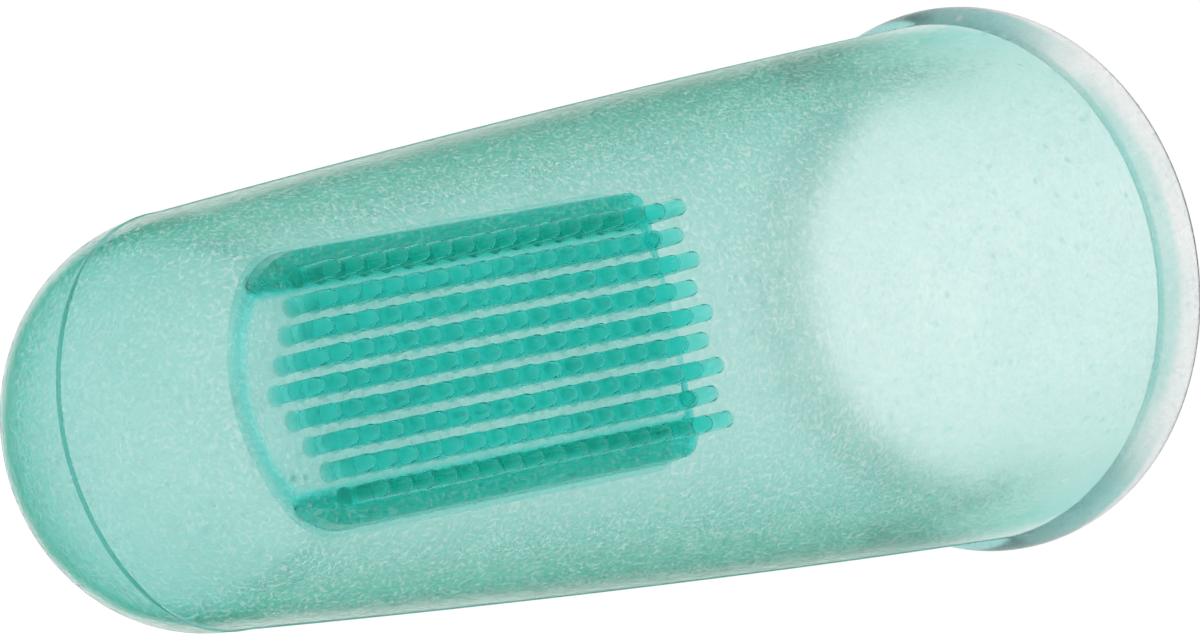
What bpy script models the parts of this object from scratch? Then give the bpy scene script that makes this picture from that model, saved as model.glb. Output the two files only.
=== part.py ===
"""Finger toothbrush for pets: a closed-end elastomer sleeve with a flat pad of short bristles.

Frame: +Z is the finger axis, with the open rim on z = 0 and the closed tip on top. The bristles face -Y.
"Station" is the distance down the axis from the pole of the closed tip. Lengths are in millimetres
until scaled by MM.
"""
import math

import bmesh
import bpy

MM = 0.001
COLLECTION_NAME = "pet_finger_toothbrush"
CUTTER_COLLECTION_NAME = "cutters"

# Sleeve: a slightly barrelled cone with a blunt dome on its narrow end
LENGTH = 60.0
DOME_LENGTH = 8.0
DOME_RADIUS = 8.85
TAPER = 0.0843             # growth of the radius for each millimetre below the dome
TAPER_FALL = 0.00038       # how fast that growth levels off
DOME_AXIAL_POWER = 2.15
DOME_RADIAL_POWER = 1.9
WALL = 2.0
SEGMENTS = 44

# Rim bead: a rounded ring round the open mouth
BEAD_HEIGHT = 2.8
BEAD_RADIUS = 12.75
BEAD_FACE_INSET = 0.55     # how far the flat end face stays inside the widest circle
BEAD_ARC_STEPS = 4

# Bristle pad: a flat table, straight at the sides and elliptical towards the tip
PAD_STATION = 15.0         # station of the middle of the bristle field
PAD_HEIGHT = 9.3           # distance of the table from the finger axis at that station
PAD_TILT = math.radians(5.0)
PAD_HALF_WIDTH = 5.75
PAD_TIP_MARGIN = 1.6       # from the first bristle of the middle row to the tip end of the pad
PAD_RIM_MARGIN = 0.6       # from the last bristles to the other end of the pad
PAD_END_LENGTH = 4.6       # length of the elliptical end
PAD_CORNER_RADIUS = 1.0
POCKET_INSET = 0.75        # depth of the pad's seat below the sleeve's outer surface
PAD_DEPTH = 4.0            # more than the pad's thickest place

# Bristles: nine rows, every other row shifted by half a pitch
BRISTLE_PITCH = 1.21
ROW_SPACING = 1.145
ROW_COUNT = 9
MIDDLE_ROW_BRISTLES = 19
BRISTLE_ROOT_RADIUS = 0.39
BRISTLE_TIP_RADIUS = 0.365
BRISTLE_HEIGHT = 2.7       # from the table to the top of the rounded tip, in the outer rows
CROWN = 0.25               # extra height of the middle row
BRISTLE_SIDES = 6
HINGE_HEIGHT = 0.36        # height of the root rod's axis above the table
ROD_RADIUS = 0.3
ROD_OVERHANG = 0.3         # length of rod beyond the end bristles

GAP = 0.04                 # clearance between neighbouring solids
CUTTER_CLEARANCE = 3.0     # how far a cutter stands clear of what it cuts


def clear_scene():
    for obj in list(bpy.data.objects):
        bpy.data.objects.remove(obj, do_unlink=True)


def make_collection(name):
    collection = bpy.data.collections.new(name)
    bpy.context.scene.collection.children.link(collection)
    return collection


def make_material(name, color, roughness):
    material = bpy.data.materials.new(name)
    material.use_nodes = True
    shader = material.node_tree.nodes["Principled BSDF"]
    shader.inputs["Base Color"].default_value = (*color, 1.0)
    shader.inputs["Roughness"].default_value = roughness
    shader.inputs["Metallic"].default_value = 0.0
    return material


def mark_as_cutter(obj):
    obj.hide_render = True
    obj.display_type = "WIRE"


def add_boolean(obj, cutter, operation):
    modifier = obj.modifiers.new(operation.lower(), "BOOLEAN")
    modifier.operation = operation
    modifier.solver = "EXACT"
    modifier.object = cutter


def turned_object(name, profile, collection, segments=SEGMENTS):
    """A solid of revolution about Z from (radius, z) points, in millimetres, outer side downwards."""
    mesh = bpy.data.meshes.new(name)
    points = [(radius * MM, 0.0, z * MM) for radius, z in profile]
    edges = [(i, i + 1) for i in range(len(points) - 1)]
    if profile[0][0] > 0.0:
        edges.append((len(points) - 1, 0))
    mesh.from_pydata(points, edges, [])
    obj = bpy.data.objects.new(name, mesh)
    collection.objects.link(obj)
    screw = obj.modifiers.new("turn", "SCREW")
    screw.steps = segments
    screw.render_steps = segments
    screw.use_merge_vertices = True
    screw.merge_threshold = 1e-6
    screw.use_smooth_shade = True
    return obj


def spread(start, end, count):
    return [start + (end - start) * i / (count - 1) for i in range(count)]


def shell_radius(station, inset=0.0):
    """Radius of the sleeve's outer surface, or of a surface a constant inset inside it."""
    if station >= DOME_LENGTH:
        below = station - DOME_LENGTH
        return DOME_RADIUS + TAPER * below - TAPER_FALL * below ** 2 - inset
    share = max(0.0, (station - inset) / (DOME_LENGTH - inset))
    fill = 1.0 - (1.0 - share) ** DOME_AXIAL_POWER
    return (DOME_RADIUS - inset) * fill ** (1.0 / DOME_RADIAL_POWER)


def shell_line(first_station, last_station, inset=0.0, dome_steps=9, body_steps=6):
    """Points (radius, z) down the sleeve's surface, closer together where the dome turns."""
    stations = []
    if first_station < DOME_LENGTH:
        dome_end = min(last_station, DOME_LENGTH)
        span = dome_end - first_station
        stations += [first_station + span * (i / (dome_steps - 1)) ** 2 for i in range(dome_steps)]
    if last_station > DOME_LENGTH:
        body = spread(max(first_station, DOME_LENGTH), last_station, body_steps)
        stations += body[1:] if stations else body
    return [(shell_radius(station, inset), LENGTH - station) for station in stations]


def make_tip_dome(collection):
    joint = DOME_LENGTH - GAP / 2
    outer = shell_line(0.0, joint)
    inner = shell_line(WALL, joint, WALL)
    return turned_object("tip_dome", outer + inner[::-1], collection)


def make_finger_sleeve(collection):
    top = DOME_LENGTH + GAP / 2
    bottom = LENGTH - BEAD_HEIGHT - GAP / 2
    outer = shell_line(top, bottom)
    inner = shell_line(top, bottom, WALL)
    return turned_object("finger_sleeve", outer + inner[::-1], collection)


def make_rim_bead(collection):
    top = BEAD_HEIGHT - GAP / 2
    groove_radius = shell_radius(LENGTH - top)
    hole_radius = groove_radius - WALL
    middle = top / 2
    outer = []
    for step in range(2 * BEAD_ARC_STEPS + 1):
        angle = math.pi / 2 - math.pi * step / (2 * BEAD_ARC_STEPS)
        side = groove_radius if angle > 0 else BEAD_RADIUS - BEAD_FACE_INSET
        radius = side + (BEAD_RADIUS - side) * math.cos(angle)
        outer.append((radius, middle + middle * math.sin(angle)))
    inner = [(hole_radius, 0.0), (hole_radius, top)]
    return turned_object("rim_bead", outer + inner, collection)


def make_pad_frame(collection):
    """Frame of the table: X across it, Y along the rows towards the tip, Z out of it."""
    frame = bpy.data.objects.new("pad_frame", None)
    collection.objects.link(frame)
    frame.location = (0.0, -PAD_HEIGHT * MM, (LENGTH - PAD_STATION) * MM)
    frame.rotation_euler = (math.pi / 2 - PAD_TILT, 0.0, 0.0)
    return frame


def field_half_length():
    return (MIDDLE_ROW_BRISTLES - 1) * BRISTLE_PITCH / 2


def pad_outline(growth):
    """Outline (x, y) of the pad, in millimetres: an elliptical end, straight sides, two rounded corners."""
    half = PAD_HALF_WIDTH + growth
    end_length = PAD_END_LENGTH + growth
    tip = field_half_length() + PAD_TIP_MARGIN + growth
    rim = -field_half_length() - PAD_RIM_MARGIN - growth
    corner = PAD_CORNER_RADIUS + growth
    ellipse_steps = 16
    corner_steps = 4
    points = []
    for step in range(ellipse_steps + 1):
        angle = math.pi * step / ellipse_steps
        points.append((half * math.cos(angle), tip - end_length + end_length * math.sin(angle)))
    for side, start in ((-1, math.pi), (1, 1.5 * math.pi)):
        centre = (side * (half - corner), rim + corner)
        for step in range(corner_steps + 1):
            angle = start + math.pi / 2 * step / corner_steps
            points.append((centre[0] + corner * math.cos(angle),
                           centre[1] + corner * math.sin(angle)))
    return points


def make_pad_prism(name, growth, low, high, collection, frame):
    """The pad's outline as a closed prism between two heights over the table, in millimetres."""
    curve = bpy.data.curves.new(name, "CURVE")
    curve.dimensions = "2D"
    curve.fill_mode = "BOTH"
    curve.extrude = (high - low) / 2 * MM
    outline = pad_outline(growth)
    spline = curve.splines.new("POLY")
    spline.points.add(len(outline) - 1)
    for point, (x, y) in zip(spline.points, outline):
        point.co = (x * MM, y * MM, 0.0, 1.0)
    spline.use_cyclic_u = True
    source = bpy.data.objects.new(name + "_outline", curve)
    collection.objects.link(source)
    bpy.context.view_layer.update()
    evaluated = source.evaluated_get(bpy.context.evaluated_depsgraph_get())
    mesh = bpy.data.meshes.new_from_object(evaluated)
    bpy.data.objects.remove(source, do_unlink=True)
    shape = bmesh.new()
    shape.from_mesh(mesh)
    bmesh.ops.remove_doubles(shape, verts=shape.verts, dist=1e-6)
    bmesh.ops.recalc_face_normals(shape, faces=shape.faces)
    shape.to_mesh(mesh)
    shape.free()
    prism = bpy.data.objects.new(name, mesh)
    collection.objects.link(prism)
    prism.parent = frame
    prism.location = (0.0, 0.0, (low + high) / 2 * MM)
    return prism


def make_core(name, inset, cutters):
    """The solid inside the sleeve's surface, from the tip to well past the pad."""
    end = PAD_STATION + field_half_length() + 2 * CUTTER_CLEARANCE
    line = shell_line(inset, end, inset)
    core = turned_object(name, line + [(0.0, LENGTH - end)], cutters)
    mark_as_cutter(core)
    return core


def make_brush_pad(collection, cutters, frame):
    pad = make_pad_prism("brush_pad", 0.0, -PAD_DEPTH, 0.0, collection, frame)
    add_boolean(pad, make_core("pad_seat", POCKET_INSET - GAP, cutters), "DIFFERENCE")
    return pad


def make_pad_pocket(cutters, frame):
    pocket = make_pad_prism("pad_pocket", GAP, -PAD_DEPTH, CUTTER_CLEARANCE, cutters, frame)
    add_boolean(pocket, make_core("pocket_floor", POCKET_INSET, cutters), "DIFFERENCE")
    mark_as_cutter(pocket)
    return pocket


def bristle_profile(height):
    """Half outline of one bristle, from its rounded tip down to the middle of the root rod."""
    dome_steps = 2
    shoulder = height - BRISTLE_TIP_RADIUS
    points = []
    for step in range(dome_steps + 1):
        angle = math.pi / 2 * (1 - step / dome_steps)
        radius = BRISTLE_TIP_RADIUS * math.cos(angle)
        points.append((radius, shoulder + BRISTLE_TIP_RADIUS * math.sin(angle)))
    points[0] = (0.0, height)
    return points + [(BRISTLE_ROOT_RADIUS, 0.0), (0.0, 0.0)]


def make_root_rod(name, length, cutters, row):
    """The thin rod that joins a row's bristles at their roots and lies on the row's hinge axis."""
    bpy.ops.mesh.primitive_cylinder_add(vertices=BRISTLE_SIDES, radius=ROD_RADIUS * MM, depth=length * MM)
    rod = bpy.context.active_object
    rod.name = name
    for collection in list(rod.users_collection):
        collection.objects.unlink(rod)
    cutters.objects.link(rod)
    rod.parent = row
    rod.rotation_euler = (math.pi / 2, math.pi / BRISTLE_SIDES, 0.0)
    rod.location = (0.0, length / 2 * MM - (BRISTLE_ROOT_RADIUS + ROD_OVERHANG) * MM, 0.0)
    mark_as_cutter(rod)
    return rod


def make_bristle_row(number, collection, cutters, frame):
    """Row 1 is the row nearest +X. The row's origin is on its hinge axis, under its rim-side bristle."""
    middle = (ROW_COUNT + 1) // 2
    steps_out = abs(number - middle)
    count = MIDDLE_ROW_BRISTLES - (steps_out + 1) // 2
    first = -field_half_length() + (steps_out % 2) * BRISTLE_PITCH / 2
    crown = CROWN * (1.0 - (steps_out / (middle - 1)) ** 2)
    height = BRISTLE_HEIGHT - HINGE_HEIGHT + crown
    row = turned_object(f"bristle_row_{number}", bristle_profile(height), collection, BRISTLE_SIDES)
    row.parent = frame
    row.location = ((middle - number) * ROW_SPACING * MM, first * MM, HINGE_HEIGHT * MM)
    array = row.modifiers.new("bristles", "ARRAY")
    array.count = count
    array.use_relative_offset = False
    array.use_constant_offset = True
    array.constant_offset_displace = (0.0, BRISTLE_PITCH * MM, 0.0)
    rod_length = (count - 1) * BRISTLE_PITCH + 2 * (BRISTLE_ROOT_RADIUS + ROD_OVERHANG)
    add_boolean(row, make_root_rod(f"root_rod_{number}", rod_length, cutters, row), "UNION")
    return row


def main():
    clear_scene()
    parts = make_collection(COLLECTION_NAME)
    cutters = make_collection(CUTTER_COLLECTION_NAME)
    dome = make_tip_dome(parts)
    sleeve = make_finger_sleeve(parts)
    bead = make_rim_bead(parts)
    frame = make_pad_frame(parts)
    pad = make_brush_pad(parts, cutters, frame)
    pocket = make_pad_pocket(cutters, frame)
    add_boolean(dome, pocket, "DIFFERENCE")
    add_boolean(sleeve, pocket, "DIFFERENCE")
    rows = [make_bristle_row(number, parts, cutters, frame) for number in range(1, ROW_COUNT + 1)]
    dome.data.materials.append(make_material("teal_dome", (0.36, 0.68, 0.60), 0.35))
    sleeve.data.materials.append(make_material("teal_sleeve", (0.40, 0.71, 0.64), 0.35))
    bead.data.materials.append(make_material("teal_bead", (0.44, 0.74, 0.67), 0.30))
    pad.data.materials.append(make_material("teal_pad", (0.16, 0.56, 0.48), 0.30))
    for number, row in enumerate(rows, start=1):
        row.data.materials.append(make_material(f"teal_bristles_{number}", (0.05, 0.45, 0.37), 0.25))


main()
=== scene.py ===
"""Looks of the pet finger toothbrush: a translucent teal moulding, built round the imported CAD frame.

The moulding's sizes are in millimetres, in the frame of the CAD model: +Z runs along the finger to the
closed tip, and the pad faces -Y. MM turns them into metres, the unit of the camera, the lights and the
floor. A station is a distance down from the tip's pole, along -Z.
"""
import math

import bmesh
import bpy
import numpy as np
from mathutils import Matrix, Vector


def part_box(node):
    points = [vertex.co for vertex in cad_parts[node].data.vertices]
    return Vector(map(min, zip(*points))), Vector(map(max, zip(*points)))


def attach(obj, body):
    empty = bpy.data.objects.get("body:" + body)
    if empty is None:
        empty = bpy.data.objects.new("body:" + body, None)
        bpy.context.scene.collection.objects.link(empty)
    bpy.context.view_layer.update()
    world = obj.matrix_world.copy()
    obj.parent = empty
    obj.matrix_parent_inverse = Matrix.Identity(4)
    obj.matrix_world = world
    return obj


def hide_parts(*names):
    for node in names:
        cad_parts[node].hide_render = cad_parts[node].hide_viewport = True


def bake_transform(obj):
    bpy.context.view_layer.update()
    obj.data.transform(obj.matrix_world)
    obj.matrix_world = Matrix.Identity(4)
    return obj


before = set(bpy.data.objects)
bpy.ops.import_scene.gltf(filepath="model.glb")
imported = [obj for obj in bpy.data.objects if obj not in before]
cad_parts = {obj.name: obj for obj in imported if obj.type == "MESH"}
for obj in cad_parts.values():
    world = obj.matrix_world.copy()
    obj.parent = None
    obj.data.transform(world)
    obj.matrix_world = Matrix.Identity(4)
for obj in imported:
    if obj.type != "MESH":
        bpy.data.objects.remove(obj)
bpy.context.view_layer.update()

MM = 0.001

# Shape of the moulding, in millimetres. The outer sizes repeat the CAD model's driving dimensions.
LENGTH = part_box("tip_dome")[1].z / MM
DOME_LENGTH = 8.0
DOME_RADIUS = 8.85
TAPER = 0.0843             # growth of the radius per millimetre below the dome
TAPER_FALL = 0.00038       # and how fast it falls off, which makes the sleeve slightly barrelled
DOME_AXIAL_POWER = 2.15    # the dome's section is a superellipse with these two powers
DOME_RADIAL_POWER = 1.9
WALL = 2.0
TIP_WALL = 0.9             # thickness of the closed tip, down to THIN_TO
THIN_TO = 3.0              # station where the wall starts to get thicker
THICK_FROM = 12.0          # station from which it has its full thickness
CORE_DEPTH = 0.85          # depth below the outer surface of the wall's deeper-coloured core, in the body
CORE_THICKNESS = 0.25
TIP_CORE_DEPTH = 0.35      # and in the closed tip
TIP_CORE_THICKNESS = 0.3
CORE_END_GAP = 0.2         # how far above the rim's face the core ends
CAVITY_NARROWER = 0.35     # the cavity is slightly oval: narrower across the pad, wider front to back
CAVITY_DEEPER = 0.5
BEAD_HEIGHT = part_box("rim_bead")[1].z / MM
BEAD_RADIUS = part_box("rim_bead")[1].x / MM
BEAD_FACE_INSET = 0.55     # how far inside the bead's widest circle its lower side meets the rim's face
SHOULDER_SWELL = 1.2       # how much fuller the dome is in front, where it carries the pad's tip end
SHOULDER_STATION = 2.6     # station where it is fullest
SHOULDER_NEAR = math.radians(30.0)     # angle from the pad's middle up to which it is full
SHOULDER_FAR = math.radians(80.0)      # and from which there is nothing of it
PARTING_HALF_WIDTH = 0.11  # the moulding's parting line, a fine ridge along the two sides and over the tip
PARTING_HEIGHT = 0.05
TURN_STEPS = 240
SHARP_ANGLE = math.radians(50.0)       # edges that turn by more than this aren't smoothed

PAD_STATION = 15.0
PAD_HEIGHT = 9.3
PAD_TILT = math.radians(5.0)
PAD_HALF_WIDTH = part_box("brush_pad")[1].x / MM
PAD_TIP_MARGIN = 1.6
PAD_RIM_MARGIN = 0.6
PAD_END_LENGTH = 4.6
PAD_CORNER_RADIUS = 1.0
PAD_EDGE_RADIUS = 0.22
PAD_FILLET = 0.25
PAD_DRAFT = 0.04           # how much the table's walls flare, per millimetre of their height
PAD_LEAST_HEIGHT = 0.05    # height of the table's walls where its tip end runs out on the sleeve
PAD_FOOT_TUCK = 0.05       # how far the walls' lowest edge is drawn in under the fillet
PAD_COVER = 0.3            # how far outside the pad's outline a sleeve that stands above it is lowered
PAD_SKIN = 0.02            # thickness of the pad's deep colour in its middle
PAD_DEEP = 2.2             # and how much thicker it gets in the margins
DEEP_FROM = 3.9            # where, across the pad, it starts to get thicker
DEEP_FULL = 5.0
SEAT_BLEND = 0.45          # distance inside the outline over which the seat leaves the sleeve's surface
DISC_END_SHARE = 0.6       # a disc's middle line stops this share of the half width short of the field

ROW_COUNT = 9
MIDDLE_ROW = 5
MIDDLE_ROW_BRISTLES = 19
BRISTLE_PITCH = 1.21
ROW_SPACING = 1.145
BRISTLE_ROOT_RADIUS = 0.39
BRISTLE_TIP_RADIUS = 0.365
BRISTLE_HEIGHT = 2.7
CROWN = 0.25               # how much taller the bristles of the middle row are than those of the outer rows
BRISTLE_SIDES = 20
FOOT_HEIGHT = 0.12         # height at which a bristle starts to flare into the table
FOOT_FLARE = 0.06          # how far it has flared at the table
FOOT_MIDDLE_HEIGHT = 0.06  # and between the two
FOOT_MIDDLE_FLARE = 0.02
LEAN_SPREAD = 0.006        # standard deviation of a bristle's lean at rest, per millimetre of height
HEIGHT_SPREAD = 0.015      # and of its height

OVERLAP = 0.06             # how far touching pieces run into each other, so that no air gap shows there
SEAT_OVERLAP = 0.02        # the same for the pad in its seat

# Textures of the elastomer: scales per metre, reliefs in metres
CLOUD_SCALE = 260.0
CLOUD_DEPTHS = (0.12, 0.06, 0.065)     # how much of red, green and blue the clouds take away
BUBBLE_SCALE = 760.0
BUBBLE_CLUSTER_SCALE = 120.0
BUBBLE_SHADE = (0.58, 0.76, 0.74)      # a bubble's colour, as shares of the elastomer's
BUBBLE_RELIEF = 0.00003
FLECK_SCALE = 5200.0
FLECK_RELIEF = 0.00001
POLISH_SCALE = 900.0
CLEARNESS = 0.985          # share of the light that goes through the surface between the flecks

# Where the painted shade starts and where it is full, in millimetres or as shares of the bead's sizes
GROOVE_PAINTED_SHADE = (0.17, 0.05)             # below the bead's upper edge
TIP_PAINTED_SHADE = (6.0, 2.0)                  # below the tip's pole
PAD_WALL_PAINTED_SHADE = (0.10, 0.30)           # below the table
SHADE_CRESCENT_SIDES = (0.62, 0.90)          # of the bead's radius, across the pad
SHADE_CRESCENT_HEIGHTS = (0.40, 0.62)        # of the bead's height

# Studio, in metres
FLOOR_HALF_SIZE = 1.5
FLOOR_GAP = 0.00005        # so that the rim's face and the floor don't coincide
FLOOR_REFLECTANCE = 0.1
FLOOR_GLOW = 0.97
WORLD_GLOW = 0.6
LIGHT_AIM = (0.0, 0.0, 0.03)

# Camera, in metres: where it looks, from where, and how far it is rolled
AIM = Vector((0.00114, -0.0022, 0.0293))
VIEW_AZIMUTH = math.radians(-3.31)
VIEW_ELEVATION = math.radians(47.37)
VIEW_ROLL = math.radians(-100.14)
VIEW_DISTANCE = 0.320
LENS = 220.14              # focal length, in millimetres
SENSOR_WIDTH = 36.0


# ---------------------------------------------------------------- shape of the sleeve

def shell_radius(station, inset=0.0):
    """Radius of the outer surface, or of one a constant inset inside it, at a station below the pole."""
    if station >= DOME_LENGTH:
        below = station - DOME_LENGTH
        return DOME_RADIUS + TAPER * below - TAPER_FALL * below ** 2 - inset
    share = max(0.0, (station - inset) / (DOME_LENGTH - inset))
    fill = 1.0 - (1.0 - share) ** DOME_AXIAL_POWER
    return (DOME_RADIUS - inset) * fill ** (1.0 / DOME_RADIAL_POWER)


def swell(station, x, y):
    """How far the outer surface stands out, in millimetres, where the dome carries the pad's tip end."""
    angle = abs(math.atan2(x, -y))
    around = smooth_step((SHOULDER_FAR - angle) / (SHOULDER_FAR - SHOULDER_NEAR))
    along = station / SHOULDER_STATION
    return SHOULDER_SWELL * around * (along * math.exp(1.0 - along)) ** 1.5


def thickening(station):
    """0 in the closed tip, 1 in the body, and smoothly from one to the other between them."""
    return smooth_step((station - THIN_TO) / (THICK_FROM - THIN_TO))


def cavity_radius(station):
    """Radius of the finger's cavity, whose rounded end starts TIP_WALL below the pole."""
    return shell_radius(station, TIP_WALL + (WALL - TIP_WALL) * thickening(station))


def core_depth(station):
    """How far below the outer surface the core's own outer surface lies."""
    return TIP_CORE_DEPTH + (CORE_DEPTH - TIP_CORE_DEPTH) * thickening(station)


def core_thickness(station):
    """Distance between the core's outer and inner surfaces."""
    return TIP_CORE_THICKNESS + (CORE_THICKNESS - TIP_CORE_THICKNESS) * thickening(station)


def smooth_step(share):
    """0 for a share of 0 or less, 1 for 1 or more, and a smooth rise between them."""
    share = max(0.0, min(1.0, share))
    return share * share * (3.0 - 2.0 * share)


def surface_line(radius_at, first, last, dome_steps=44, body_steps=90):
    """Points (radius, z) down a turned surface, from station first to station last."""
    stations = [first + (DOME_LENGTH - first) * (i / dome_steps) ** 2 for i in range(dome_steps + 1)]
    stations += [DOME_LENGTH + (last - DOME_LENGTH) * i / body_steps for i in range(1, body_steps + 1)]
    return [(radius_at(s), LENGTH - s) for s in stations]


def bridge(shape, upper, lower, steps):
    """The faces between two rings of points, either of which may be a single point, a pole."""
    for i in range(steps):
        j = (i + 1) % steps
        corners = [upper[i % len(upper)], lower[i % len(lower)],
                   lower[j % len(lower)], upper[j % len(upper)]]
        corners = list(dict.fromkeys(corners))
        if len(corners) > 2:
            shape.faces.new(corners)


def turned(name, profile, closed_loop, steps=TURN_STEPS):
    """A surface of revolution about Z from (radius, z) points in millimetres, going down the outer side."""
    shape = bmesh.new()
    rings = []
    for radius, z in profile:
        if radius < 1e-6:
            rings.append([shape.verts.new((0.0, 0.0, z * MM))])
            continue
        angles = [2 * math.pi * i / steps for i in range(steps)]
        rings.append([shape.verts.new((radius * math.cos(a) * MM, radius * math.sin(a) * MM, z * MM))
                      for a in angles])
    pairs = list(zip(rings, rings[1:]))
    if closed_loop:
        pairs.append((rings[-1], rings[0]))
    for upper, lower in pairs:
        bridge(shape, upper, lower, steps)
    return finished(name, shape)


def finished(name, shape):
    """The shape as an object in the scene, smooth but for its sharp edges."""
    mesh = bpy.data.meshes.new(name)
    bmesh.ops.recalc_face_normals(shape, faces=shape.faces)
    shape.to_mesh(mesh)
    shape.free()
    mesh.shade_smooth()
    mesh.set_sharp_from_angle(angle=SHARP_ANGLE)
    obj = bpy.data.objects.new(name, mesh)
    bpy.context.scene.collection.objects.link(obj)
    return obj


# ---------------------------------------------------------------- the pad's own frame

PAD_X = Vector((1.0, 0.0, 0.0))
PAD_Y = Vector((0.0, math.sin(PAD_TILT), math.cos(PAD_TILT)))
PAD_Z = Vector((0.0, -math.cos(PAD_TILT), math.sin(PAD_TILT)))
PAD_ORIGIN = Vector((0.0, -PAD_HEIGHT, LENGTH - PAD_STATION))
FIELD_HALF = (MIDDLE_ROW_BRISTLES - 1) * BRISTLE_PITCH / 2


def from_pad(x, y, z):
    """A point of the pad's frame, in millimetres, as a point of the CAD model's frame, in metres."""
    return (PAD_ORIGIN + PAD_X * x + PAD_Y * y + PAD_Z * z) * MM


def sleeve_under(x, y, rounds=8, step=0.8):
    """Height over the table, in the pad's frame, of the sleeve's outer surface at a point of the table.

    Each round goes most of the way to the surface as seen from the last height. The two least values keep
    points beside or beyond the sleeve, where there is no surface, at a finite height.
    """
    least_station = 0.05
    least_square = 0.01
    z = 0.0
    for _ in range(rounds):
        at = PAD_ORIGIN + PAD_X * x + PAD_Y * y + PAD_Z * z
        station = max(least_station, LENGTH - at.z)
        radius = shell_radius(station) + swell(station, at.x, at.y)
        target = -math.sqrt(max(radius ** 2 - x ** 2, least_square))
        z += step * (at.y - target) / math.cos(PAD_TILT)
    return z


def foot_height(x, y):
    """Height of the foot of the table's walls, never so close to the table that they vanish."""
    return min(sleeve_under(x, y), -PAD_LEAST_HEIGHT)


def pad_outline(steps=40):
    """Outline (x, y, normal x, normal y) of the pad, anticlockwise from its right side."""
    half = PAD_HALF_WIDTH
    end_length = PAD_END_LENGTH
    tip = FIELD_HALF + PAD_TIP_MARGIN
    rim = -FIELD_HALF - PAD_RIM_MARGIN
    corner = PAD_CORNER_RADIUS
    straight = (tip - end_length) - (rim + corner)
    points = []
    for i in range(steps + 1):
        a = math.pi * i / steps
        normal = Vector((math.cos(a) / half, math.sin(a) / end_length)).normalized()
        points.append((half * math.cos(a), tip - end_length + end_length * math.sin(a), normal.x, normal.y))
    side_steps = 36
    for i in range(1, side_steps):
        points.append((-half, tip - end_length - straight * i / side_steps, -1.0, 0.0))
    corner_steps = 10
    for side, start in ((-1, math.pi), (1, 1.5 * math.pi)):
        for i in range(corner_steps + 1):
            a = start + math.pi / 2 * i / corner_steps
            points.append((side * (half - corner) + corner * math.cos(a), rim + corner + corner * math.sin(a),
                           math.cos(a), math.sin(a)))
        if side < 0:
            edge_steps = 16
            width = 2 * (half - corner)
            for i in range(1, edge_steps):
                points.append((-half + corner + width * i / edge_steps, rim, 0.0, -1.0))
    for i in range(1, side_steps):
        points.append((half, rim + corner + straight * i / side_steps, 1.0, 0.0))
    return points


def near_pad(x, y):
    """Whether a point of the table lies inside the pad's outline or at most PAD_COVER outside it."""
    half = PAD_HALF_WIDTH + PAD_COVER
    tip = FIELD_HALF + PAD_TIP_MARGIN + PAD_COVER
    rim = -FIELD_HALF - PAD_RIM_MARGIN - PAD_COVER
    end_length = PAD_END_LENGTH + PAD_COVER
    if abs(x) > half or y > tip or y < rim:
        return False
    if y > tip - end_length:
        return (x / half) ** 2 + ((y - tip + end_length) / end_length) ** 2 <= 1.0
    return True


def inside_distance(x, y):
    """How far a point of the table lies inside the pad's outline, in millimetres (negative outside it)."""
    tip = FIELD_HALF + PAD_TIP_MARGIN
    from_side = PAD_HALF_WIDTH - abs(x)
    from_rim = y + FIELD_HALF + PAD_RIM_MARGIN
    beyond = y - (tip - PAD_END_LENGTH)
    if beyond > 0.0:
        share = math.hypot(x / PAD_HALF_WIDTH, beyond / PAD_END_LENGTH)
        from_side = (1.0 - share) * math.hypot(x, beyond) / max(share, 1e-6)
    return min(from_side, from_rim)


def seat_height(x, y):
    """Height, in the pad's frame, of the surface where the pad and the sleeve meet.

    The pad's deep colour is a thin skin in its middle and goes down into the wall in its two long margins.
    """
    margin = smooth_step((abs(x) - DEEP_FROM) / (DEEP_FULL - DEEP_FROM))
    depth = PAD_SKIN + PAD_DEEP * margin
    inside = smooth_step(inside_distance(x, y) / SEAT_BLEND)
    surface = min(sleeve_under(x, y), -PAD_SKIN)
    return surface + (-depth - surface) * inside


def make_pad():
    """The table: a flat top with a soft edge, drafted walls and a fillet that runs out on the sleeve."""
    shape = bmesh.new()
    edge_steps = 5
    fillet_steps = 6
    columns = []
    for x, y, nx, ny in pad_outline():
        height = -foot_height(x, y)
        edge = min(PAD_EDGE_RADIUS, 0.4 * height)
        fillet = min(PAD_FILLET, 0.45 * height)
        column = []
        for i in range(edge_steps + 1):
            a = math.pi / 2 * i / edge_steps
            off = edge * (math.sin(a) - 1.0)
            column.append((x + nx * off, y + ny * off, edge * (math.cos(a) - 1.0)))
        for i in range(fillet_steps + 1):
            a = math.pi / 2 * i / fillet_steps
            off = fillet * (1.0 - math.cos(a)) + PAD_DRAFT * height
            px, py = x + nx * off, y + ny * off
            column.append((px, py, foot_height(px, py) + fillet * (1.0 - math.sin(a))))
        off = fillet + PAD_DRAFT * height - PAD_FOOT_TUCK
        px, py = x + nx * off, y + ny * off
        column.append((px, py, foot_height(px, py) - OVERLAP))
        columns.append([shape.verts.new(from_pad(*p)) for p in column])
    count = len(columns)
    for i in range(count):
        left, right = columns[i], columns[(i + 1) % count]
        for k in range(len(left) - 1):
            shape.faces.new((left[k], left[k + 1], right[k + 1], right[k]))
    fill_disc(shape, [c[0] for c in columns], lambda x, y: 0.0)
    fill_disc(shape, [c[-1] for c in columns], lambda x, y: seat_height(x, y) - SEAT_OVERLAP)
    return finished("brush_table", shape)


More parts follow.
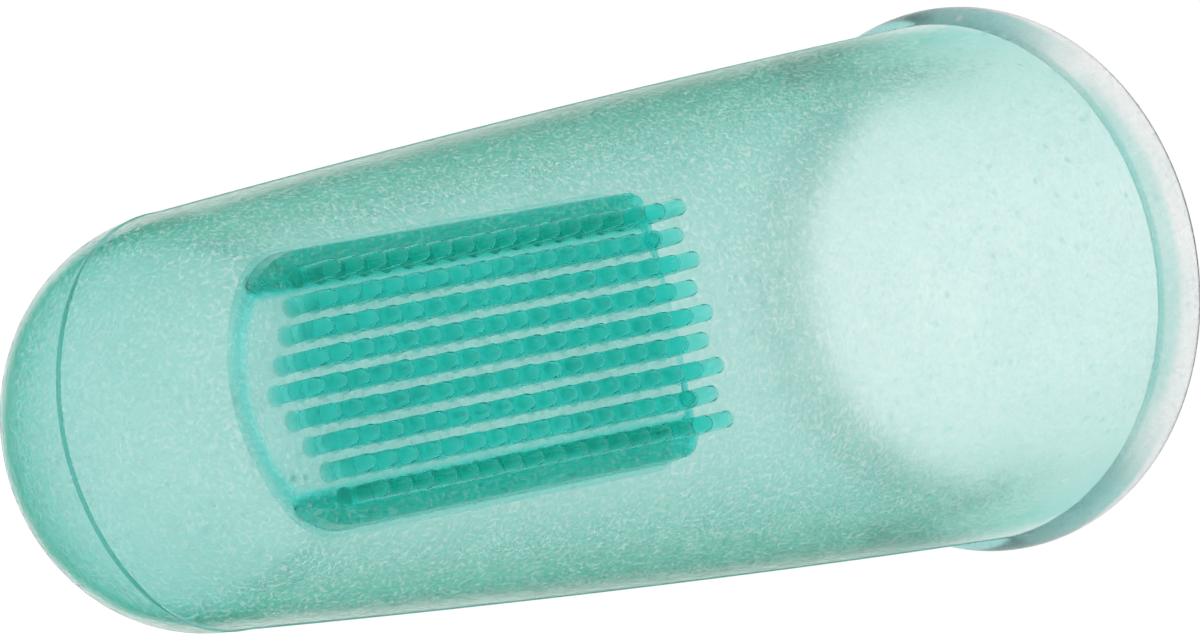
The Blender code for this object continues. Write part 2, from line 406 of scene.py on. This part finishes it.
def fill_disc(shape, rim, height, rings=24):
    """Closes a loop of the pad with rings that shrink to its middle line, each at the height asked for."""
    local = []
    for v in rim:
        p = v.co / MM - PAD_ORIGIN
        local.append((p.dot(PAD_X), p.dot(PAD_Y)))
    reach = FIELD_HALF - PAD_HALF_WIDTH * DISC_END_SHARE
    previous = rim
    for ring in range(1, rings + 1):
        share = 1.0 - ring / (rings + 0.5)
        current = []
        for x, y in local:
            core = max(-reach, min(reach, y))
            px, py = x * share, core + (y - core) * share
            current.append(shape.verts.new(from_pad(px, py, height(px, py))))
        for i in range(len(rim)):
            j = (i + 1) % len(rim)
            shape.faces.new((previous[i], previous[j], current[j], current[i]))
        previous = current
    # the last ring is a thin slot along the middle line: it is closed by joining opposite sides
    bmesh.ops.contextual_create(shape, geom=list({e for v in previous for e in v.link_edges
                                                  if e.other_vert(v) in previous}))


def make_sleeve():
    """The wall and the closed tip in one skin down to the rim's face, lowered where the table covers it."""
    outer = surface_line(shell_radius, 0.0, LENGTH)
    inner = surface_line(cavity_radius, TIP_WALL, LENGTH)
    obj = turned("moulded_sleeve", outer + inner[::-1], closed_loop=False)
    pole_radius = 0.01
    for v in obj.data.vertices:
        p = v.co / MM
        station = LENGTH - p.z
        radius = math.hypot(p.x, p.y)
        middle = (shell_radius(station) + cavity_radius(station)) / 2
        if radius < middle:
            share = thickening(station) / max(cavity_radius(station), WALL)
            v.co.x *= 1.0 - CAVITY_NARROWER * share
            v.co.y *= 1.0 + CAVITY_DEEPER * share
        elif radius > pole_radius:
            grown = 1.0 + swell(station, p.x, p.y) / radius
            v.co = (v.co.x * grown, v.co.y * grown, v.co.z)
        p = v.co / MM - PAD_ORIGIN
        x, y, z = p.dot(PAD_X), p.dot(PAD_Y), p.dot(PAD_Z)
        if radius > middle and z > -PAD_DEEP - WALL:
            if inside_distance(x, y) > 0.0 or z > -PAD_SKIN and near_pad(x, y):
                v.co = from_pad(x, y, seat_height(x, y))
    return obj


def make_core():
    """The deeper-coloured core of the wall: a closed shell inside it, from the tip to just above the rim."""
    last = LENGTH - CORE_END_GAP
    outer = surface_line(lambda s: shell_radius(s, core_depth(s)), TIP_CORE_DEPTH, last)
    inner = surface_line(lambda s: shell_radius(s, core_depth(s) + core_thickness(s)),
                         TIP_CORE_DEPTH + TIP_CORE_THICKNESS, last)
    return turned("wall_core", outer + inner[::-1], closed_loop=False)


def make_parting_line():
    """The fine ridge that the two halves of the mould leave: up one side, over the tip and down the other."""
    side = surface_line(shell_radius, 0.0, LENGTH - BEAD_HEIGHT, dome_steps=60, body_steps=60)
    line = [(-r, z) for r, z in side[:0:-1]] + side
    shape = bmesh.new()
    rings = []
    arc_steps = 6
    for i, (x, z) in enumerate(line):
        before, after = line[max(0, i - 1)], line[min(len(line) - 1, i + 1)]
        along = Vector((after[0] - before[0], after[1] - before[1])).normalized()
        out_x, out_z = -along.y, along.x
        ring = []
        for k in range(arc_steps + 1):
            a = math.pi * k / arc_steps
            rise = PARTING_HEIGHT * math.sin(a)
            ring.append(shape.verts.new(((x + out_x * rise) * MM, PARTING_HALF_WIDTH * math.cos(a) * MM,
                                         (z + out_z * rise) * MM)))
        for y in (-PARTING_HALF_WIDTH, PARTING_HALF_WIDTH):
            ring.append(shape.verts.new(((x - out_x * OVERLAP) * MM, y * MM, (z - out_z * OVERLAP) * MM)))
        rings.append(ring)
    count = arc_steps + 3
    for first, second in zip(rings, rings[1:]):
        for k in range(count):
            j = (k + 1) % count
            shape.faces.new((first[k], first[j], second[j], second[k]))
    shape.faces.new(rings[0])
    shape.faces.new(rings[-1][::-1])
    return finished("parting_line", shape)


def make_bead():
    """The rounded roll round the rim, which leaves a groove where it meets the sleeve."""
    groove = shell_radius(LENGTH - BEAD_HEIGHT)
    face_radius = BEAD_RADIUS - BEAD_FACE_INSET
    inside = groove - OVERLAP
    middle = BEAD_HEIGHT / 2
    profile = [(inside, BEAD_HEIGHT)]
    steps = 24
    for i in range(steps + 1):
        a = math.pi / 2 - math.pi * i / steps
        side = groove if a > 0 else face_radius
        profile.append((side + (BEAD_RADIUS - side) * math.cos(a), middle + middle * math.sin(a)))
    profile.append((inside, 0.0))
    return turned("rim_ring", profile, closed_loop=True)


# ---------------------------------------------------------------- bristles

def bristle_rings(height):
    """(radius, height) down one bristle, from its rounded tip to just inside the table."""
    shoulder = height - BRISTLE_TIP_RADIUS
    steps = 6
    rings = []
    for i in range(steps + 1):
        a = math.pi / 2 * (1 - i / steps)
        rings.append((BRISTLE_TIP_RADIUS * math.cos(a), shoulder + BRISTLE_TIP_RADIUS * math.sin(a)))
    rings[0] = (0.0, height)
    shaft = 5
    for i in range(1, shaft + 1):
        share = i / shaft
        radius = BRISTLE_TIP_RADIUS + (BRISTLE_ROOT_RADIUS - BRISTLE_TIP_RADIUS) * share
        rings.append((radius, shoulder * (1 - share) + FOOT_HEIGHT * share))
    rings += [(BRISTLE_ROOT_RADIUS + FOOT_MIDDLE_FLARE, FOOT_MIDDLE_HEIGHT),
              (BRISTLE_ROOT_RADIUS + FOOT_FLARE, 0.0),
              (BRISTLE_ROOT_RADIUS + FOOT_FLARE, -OVERLAP),
              (0.0, -OVERLAP)]
    return rings


def make_row(number, rng):
    """One row of separate round-tipped bristles standing on the table."""
    steps_out = abs(number - MIDDLE_ROW)
    count = MIDDLE_ROW_BRISTLES - (steps_out + 1) // 2
    first = -FIELD_HALF + (steps_out % 2) * BRISTLE_PITCH / 2
    crown = CROWN * (1.0 - (steps_out / (MIDDLE_ROW - 1)) ** 2)
    x0 = (MIDDLE_ROW - number) * ROW_SPACING
    shape = bmesh.new()
    for i in range(count):
        y0 = first + i * BRISTLE_PITCH
        lean_x, lean_y = rng.normal(0.0, LEAN_SPREAD, 2)
        height = BRISTLE_HEIGHT + crown + rng.normal(0.0, HEIGHT_SPREAD)
        rings = []
        for radius, z in bristle_rings(height):
            cx, cy = x0 + lean_x * max(z, 0.0), y0 + lean_y * max(z, 0.0)
            if radius == 0.0:
                rings.append([shape.verts.new(from_pad(cx, cy, z))])
                continue
            angles = [2 * math.pi * k / BRISTLE_SIDES for k in range(BRISTLE_SIDES)]
            rings.append([shape.verts.new(from_pad(cx + radius * math.cos(a), cy + radius * math.sin(a), z))
                          for a in angles])
        for upper, lower in zip(rings, rings[1:]):
            bridge(shape, upper, lower, BRISTLE_SIDES)
    return finished(f"bristles_{number}", shape)


# ---------------------------------------------------------------- materials

def new_material(name):
    """A material with its nodes, its links and its shader."""
    material = bpy.data.materials.new(name)
    material.use_nodes = True
    nodes = material.node_tree.nodes
    return material, nodes, material.node_tree.links, nodes["Principled BSDF"]


def add_noise(nodes, links, coords, scale, detail, low, high):
    """A noise texture, stretched so that it runs from low to high."""
    noise = nodes.new("ShaderNodeTexNoise")
    noise.inputs["Scale"].default_value = scale
    noise.inputs["Detail"].default_value = detail
    links.new(coords, noise.inputs["Vector"])
    ramp = nodes.new("ShaderNodeMapRange")
    ramp.inputs["From Min"].default_value = 0.3
    ramp.inputs["From Max"].default_value = 0.7
    ramp.inputs["To Min"].default_value = low
    ramp.inputs["To Max"].default_value = high
    links.new(noise.outputs["Fac"], ramp.inputs["Value"])
    return ramp.outputs["Result"]


def mixed(nodes, links, factor, low, high):
    """A colour from low, a colour or a socket, to the colour high as the factor goes from 0 to 1."""
    mix = nodes.new("ShaderNodeMix")
    mix.data_type = "RGBA"
    if isinstance(low, tuple):
        mix.inputs["A"].default_value = (*low, 1.0)
    else:
        links.new(low, mix.inputs["A"])
    mix.inputs["B"].default_value = (*high, 1.0)
    links.new(factor, mix.inputs["Factor"])
    return mix.outputs["Result"]


def map_range(nodes, links, value, from_min, from_max, to_min=0.0, to_max=1.0):
    """A socket's value, carried smoothly from one range to another."""
    node = nodes.new("ShaderNodeMapRange")
    node.interpolation_type = "SMOOTHSTEP"
    node.inputs["From Min"].default_value = from_min
    node.inputs["From Max"].default_value = from_max
    node.inputs["To Min"].default_value = to_min
    node.inputs["To Max"].default_value = to_max
    links.new(value, node.inputs["Value"])
    return node.outputs["Result"]


def distance_along(nodes, links, coords, direction, origin=(0.0, 0.0, 0.0)):
    """How far a point lies from the origin along a direction, in metres."""
    shift = nodes.new("ShaderNodeVectorMath")
    shift.operation = "SUBTRACT"
    shift.inputs[1].default_value = origin
    links.new(coords, shift.inputs[0])
    dot = nodes.new("ShaderNodeVectorMath")
    dot.operation = "DOT_PRODUCT"
    dot.inputs[1].default_value = direction
    links.new(shift.outputs["Vector"], dot.inputs[0])
    return dot.outputs["Value"]


def product(nodes, links, first, second):
    """The product of two sockets."""
    node = nodes.new("ShaderNodeMath")
    node.operation = "MULTIPLY"
    links.new(first, node.inputs[0])
    links.new(second, node.inputs[1])
    return node.outputs["Value"]


def magnitude(nodes, links, value):
    """A socket's value without its sign."""
    node = nodes.new("ShaderNodeMath")
    node.operation = "ABSOLUTE"
    links.new(value, node.inputs[0])
    return node.outputs["Value"]


def add_bubbles(nodes, links, coords):
    """1 in the middle of a small round bubble, 0 between the bubbles, which come in loose clusters."""
    cells = nodes.new("ShaderNodeTexVoronoi")
    cells.inputs["Scale"].default_value = BUBBLE_SCALE
    links.new(coords, cells.inputs["Vector"])
    spot = map_range(nodes, links, cells.outputs["Distance"], 0.03, 0.20, 1.0, 0.0)
    clusters = add_noise(nodes, links, coords, BUBBLE_CLUSTER_SCALE, 2.0, -0.2, 1.1)
    return product(nodes, links, spot, clusters)


def add_relief(nodes, links, height, strength, distance, below=None):
    """A bump from a height socket, on top of the normal of another bump if there is one."""
    bump = nodes.new("ShaderNodeBump")
    bump.inputs["Strength"].default_value = strength
    bump.inputs["Distance"].default_value = distance
    links.new(height, bump.inputs["Height"])
    if below is not None:
        links.new(below.outputs["Normal"], bump.inputs["Normal"])
    return bump


def add_absorption(material, absorption):
    """absorption is what a metre of the material takes out of red, green and blue light."""
    nodes = material.node_tree.nodes
    strongest = max(absorption)
    volume = nodes.new("ShaderNodeVolumeAbsorption")
    volume.inputs["Color"].default_value = (*(1.0 - a / strongest for a in absorption), 1.0)
    volume.inputs["Density"].default_value = strongest
    material.node_tree.links.new(volume.outputs["Volume"], nodes["Material Output"].inputs["Volume"])


def elastomer(name, color, absorption, roughness, ior,
              coat=0.5, frosting=0.3, grain=1.0, clouds=1.0, painted_shades=()):
    """Translucent teal elastomer with cloudy colour, fine frosting, small dark bubbles and a matt grain.

    clouds, frosting and grain say how strong these are. painted_shades are pairs of a function that makes a
    factor socket and the darker colour, painted shade, that the surface takes where that factor is 1.
    """
    material, nodes, links, shader = new_material(name)
    coords = nodes.new("ShaderNodeTexCoord").outputs["Object"]
    shader.inputs["IOR"].default_value = ior
    shader.inputs["Coat Weight"].default_value = coat
    shader.inputs["Coat Roughness"].default_value = 0.28
    shader.inputs["Coat IOR"].default_value = 1.41

    cloud = add_noise(nodes, links, coords, CLOUD_SCALE, 6.0, 0.0, 1.0)
    cloud_color = tuple(c * (1.0 - depth * clouds) for c, depth in zip(color, CLOUD_DEPTHS))
    surface = mixed(nodes, links, cloud, cloud_color, color)
    # painted shade: a darker colour mixed in where each factor is 1
    for factor, painted_shade_color in painted_shades:
        surface = mixed(nodes, links, factor(nodes, links, coords), surface, painted_shade_color)
    bubble = add_bubbles(nodes, links, coords)
    bubble_color = tuple(shade * c for shade, c in zip(BUBBLE_SHADE, color))
    links.new(mixed(nodes, links, bubble, surface, bubble_color), shader.inputs["Base Color"])

    flecks = add_noise(nodes, links, coords, FLECK_SCALE, 2.0, 0.0, 1.0)
    clear = map_range(nodes, links, flecks, 0.45, 0.90, CLEARNESS, CLEARNESS - frosting)
    shader.inputs["Transmission Weight"].default_value = 0.98  # the link below varies it with the flecks
    links.new(clear, shader.inputs["Transmission Weight"])
    polish = add_noise(nodes, links, coords, POLISH_SCALE, 3.0, roughness * 0.8, roughness * 1.25)
    links.new(polish, shader.inputs["Roughness"])

    dents = add_relief(nodes, links, bubble, 0.5 * grain, BUBBLE_RELIEF)
    dents.invert = True
    relief = add_relief(nodes, links, flecks, 0.6 * grain, FLECK_RELIEF, below=dents)
    links.new(relief.outputs["Normal"], shader.inputs["Normal"])
    links.new(relief.outputs["Normal"], shader.inputs["Coat Normal"])

    add_absorption(material, absorption)
    return material


def groove_painted_shade(nodes, links, coords):
    """Painted shade: 1 in the groove between the bead and the sleeve, where the rim is painted darker."""
    height = distance_along(nodes, links, coords, (0.0, 0.0, 1.0))
    low, high = (BEAD_HEIGHT - below for below in GROOVE_PAINTED_SHADE)
    return map_range(nodes, links, height, low * MM, high * MM)


def bead_painted_limb_shade(nodes, links, coords):
    """Painted shade in dark crescents: 1 on the upper half of the bead near the parting line, 0 a quarter
    turn from there.
    """
    across = magnitude(nodes, links, distance_along(nodes, links, coords, (1.0, 0.0, 0.0)))
    near, far = (share * BEAD_RADIUS for share in SHADE_CRESCENT_SIDES)
    sides = map_range(nodes, links, across, near * MM, far * MM)
    height = distance_along(nodes, links, coords, (0.0, 0.0, 1.0))
    low, high = (share * BEAD_HEIGHT for share in SHADE_CRESCENT_HEIGHTS)
    upper = map_range(nodes, links, height, low * MM, high * MM)
    return product(nodes, links, sides, upper)


def tip_painted_shade(nodes, links, coords):
    """Painted shade: 1 round the pole of the closed tip, which is painted darker, 0 further down the dome."""
    height = distance_along(nodes, links, coords, (0.0, 0.0, 1.0))
    low, high = (LENGTH - below for below in TIP_PAINTED_SHADE)
    return map_range(nodes, links, height, low * MM, high * MM)


def pad_wall_painted_shade(nodes, links, coords):
    """Painted shade: 1 on the pad's walls, which are painted darker, 0 on its table."""
    depth = distance_along(nodes, links, coords, tuple(-PAD_Z), tuple(PAD_ORIGIN * MM))
    near, far = PAD_WALL_PAINTED_SHADE
    return map_range(nodes, links, depth, near * MM, far * MM)


# ---------------------------------------------------------------- stage

def make_floor():
    """A plain floor just below the rim, which mostly glows, so that the brush hardly shades it."""
    shape = bmesh.new()
    signs = ((-1, -1), (1, -1), (1, 1), (-1, 1))
    shape.faces.new([shape.verts.new((x * FLOOR_HALF_SIZE, y * FLOOR_HALF_SIZE, 0.0)) for x, y in signs])
    floor = finished("studio_floor", shape)
    floor.location.z = -FLOOR_GAP
    material, nodes, links, shader = new_material("studio_white")
    shader.inputs["Base Color"].default_value = (*[FLOOR_REFLECTANCE] * 3, 1.0)
    shader.inputs["Roughness"].default_value = 0.9
    shader.inputs["Specular IOR Level"].default_value = 0.0
    shader.inputs["Emission Color"].default_value = (1.0, 1.0, 1.0, 1.0)
    shader.inputs["Emission Strength"].default_value = FLOOR_GLOW
    floor.data.materials.append(material)


def add_area_light(name, location, target, size, power):
    """A round lamp that faces its target. Its size is in metres and its power in watts."""
    data = bpy.data.lights.new(name, "AREA")
    data.shape = "DISK"
    data.size = size
    data.energy = power
    light = bpy.data.objects.new(name, data)
    light.location = location
    light.rotation_euler = (Vector(target) - Vector(location)).to_track_quat("-Z", "Y").to_euler()
    bpy.context.scene.collection.objects.link(light)


def make_lights():
    world = bpy.data.worlds.new("studio")
    world.use_nodes = True
    background = world.node_tree.nodes["Background"]
    background.inputs["Color"].default_value = (1.0, 1.0, 1.0, 1.0)
    background.inputs["Strength"].default_value = WORLD_GLOW
    bpy.context.scene.world = world
    add_area_light("key", (0.25, -0.2, 0.35), LIGHT_AIM, size=0.25, power=0.5)
    add_area_light("fill", (-0.3, -0.25, 0.2), LIGHT_AIM, size=0.3, power=0.25)


def allow_long_light_paths():
    """Enough bounces for a ray that crosses a row of bristles, the pad and both walls."""
    cycles = bpy.context.scene.cycles
    cycles.max_bounces = 24
    cycles.transmission_bounces = 24
    cycles.glossy_bounces = 8


def make_camera():
    data = bpy.data.cameras.new("camera")
    data.lens = LENS
    data.sensor_width = SENSOR_WIDTH
    data.clip_start = 0.01
    camera = bpy.data.objects.new("camera", data)
    back = Vector((math.sin(VIEW_AZIMUTH) * math.cos(VIEW_ELEVATION),
                   -math.cos(VIEW_AZIMUTH) * math.cos(VIEW_ELEVATION),
                   math.sin(VIEW_ELEVATION)))
    level = Vector((math.cos(VIEW_AZIMUTH), math.sin(VIEW_AZIMUTH), 0.0))
    up = back.cross(level)
    right = level * math.cos(VIEW_ROLL) + up * math.sin(VIEW_ROLL)
    top = back.cross(right)
    turn = Matrix((right, top, back)).transposed().to_4x4()
    camera.matrix_world = Matrix.Translation(AIM + back * VIEW_DISTANCE) @ turn
    bpy.context.scene.collection.objects.link(camera)
    bpy.context.scene.camera = camera


def add_sleeve(material):
    sleeve = make_sleeve()
    sleeve.data.materials.append(material)
    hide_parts("finger_sleeve", "tip_dome")
    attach(sleeve, "sleeve")


def add_core(material):
    core = make_core()
    core.data.materials.append(material)
    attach(core, "sleeve")


def add_parting_line(material):
    parting = make_parting_line()
    parting.data.materials.append(material)
    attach(parting, "sleeve")


def add_bead(material):
    bead = make_bead()
    bead.data.materials.append(material)
    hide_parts("rim_bead")
    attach(bead, "sleeve")


def add_pad(material):
    pad = make_pad()
    pad.data.materials.append(material)
    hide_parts("brush_pad")
    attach(pad, "sleeve")


def add_rows(material, rng):
    for number in range(1, ROW_COUNT + 1):
        row = make_row(number, rng)
        row.data.materials.append(material)
        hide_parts(f"bristle_row_{number}")
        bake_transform(row)


def main():
    bpy.context.scene.view_settings.view_transform = "Standard"
    allow_long_light_paths()
    make_camera()
    make_lights()
    make_floor()

    # colours of the surfaces, and what a metre of each material takes out of red, green and blue light
    sleeve_material = elastomer("sleeve_teal", (1.0, 0.97, 0.975), (38.0, 21.0, 28.0),
                                roughness=0.4, ior=1.05, coat=0.12, frosting=0.28, clouds=0.5,
                                # the closed tip is painted darker: painted shade
                                painted_shades=((tip_painted_shade, (0.86, 0.94, 0.93)),))
    core_material = elastomer("core_teal", (1.0, 1.0, 1.0), (950.0, 200.0, 275.0),
                              roughness=0.02, ior=1.0, coat=0.0, frosting=0.0, grain=0.0, clouds=0.2)
    bead_material = elastomer("rim_teal", (0.98, 0.97, 0.97), (45.0, 20.0, 25.0),
                              roughness=0.25, ior=1.12, coat=0.1, frosting=0.05, grain=0.3,
                              # the bead's groove and the upper sides of the bead are painted darker: painted
                              # shade
                              painted_shades=((groove_painted_shade, (0.46, 0.76, 0.73)),
                                     (bead_painted_limb_shade, (0.20, 0.56, 0.53))))
    pad_material = elastomer("pad_teal", (1.0, 0.98, 0.975), (3400.0, 150.0, 205.0),
                             roughness=0.2, ior=1.08, coat=0.5, frosting=0.1, grain=0.4, clouds=0.4,
                             # the pad's walls are painted darker: painted shade
                             painted_shades=((pad_wall_painted_shade, (0.72, 0.91, 0.89)),))
    bristle_material = elastomer("bristle_teal", (0.74, 0.97, 0.94), (950.0, 34.0, 48.0),
                                 roughness=0.08, ior=1.085, coat=0.3, frosting=0.0, grain=0.2)
    parting_material = elastomer("parting_teal", (0.80, 0.95, 0.92), (6000.0, 1700.0, 1900.0),
                                 roughness=0.2, ior=1.12, frosting=0.0, grain=0.2)

    add_sleeve(sleeve_material)
    add_core(core_material)
    add_parting_line(parting_material)
    add_bead(bead_material)
    add_pad(pad_material)
    add_rows(bristle_material, np.random.default_rng(7))


main()
